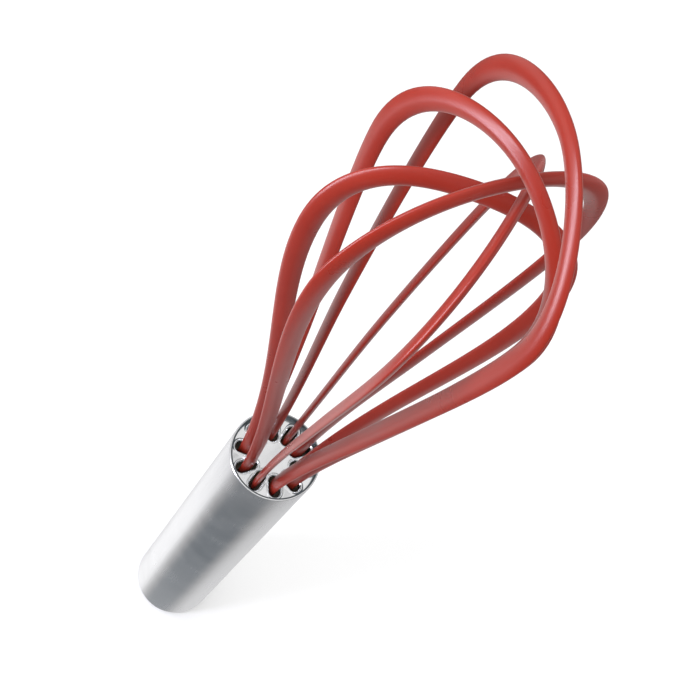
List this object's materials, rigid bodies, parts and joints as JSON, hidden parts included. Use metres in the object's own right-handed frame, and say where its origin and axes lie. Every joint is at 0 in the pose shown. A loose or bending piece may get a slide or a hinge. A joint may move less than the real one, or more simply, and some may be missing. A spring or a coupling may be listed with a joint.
{
  "type": "balloon whisk",
  "caption": "Hand whisk with nested silicone-covered wire loops in a balloon shape, held by a slotted plate and resin in a closed steel tube handle.",
  "frame": {"origin": "centre of the flat face on the closed end of the handle", "axes": "+Z along the handle's axis to the top of the balloon; +X midway between two neighbouring strands"},
  "size_m": [0.0553, 0.0564, 0.307],
  "materials": {
    "handle_steel": "polished",
    "plate_steel": "polished",
    "red_silicone": "satin",
    "wire_steel": "drawn",
    "resin": "cast"
  },
  "bodies": {
    "root": {"handle_tube": "handle_steel", "end_cap": "handle_steel", "mouth_plate": "plate_steel", "resin_plug": "resin", "loop_1_sleeve": "red_silicone", "loop_2_sleeve": "red_silicone", "loop_3_sleeve": "red_silicone", "loop_4_sleeve": "red_silicone", "loop_5_sleeve": "red_silicone", "loop_1_wire": "wire_steel", "loop_2_wire": "wire_steel", "loop_3_wire": "wire_steel", "loop_4_wire": "wire_steel", "loop_5_wire": "wire_steel"}
  },
  "joints": []
}
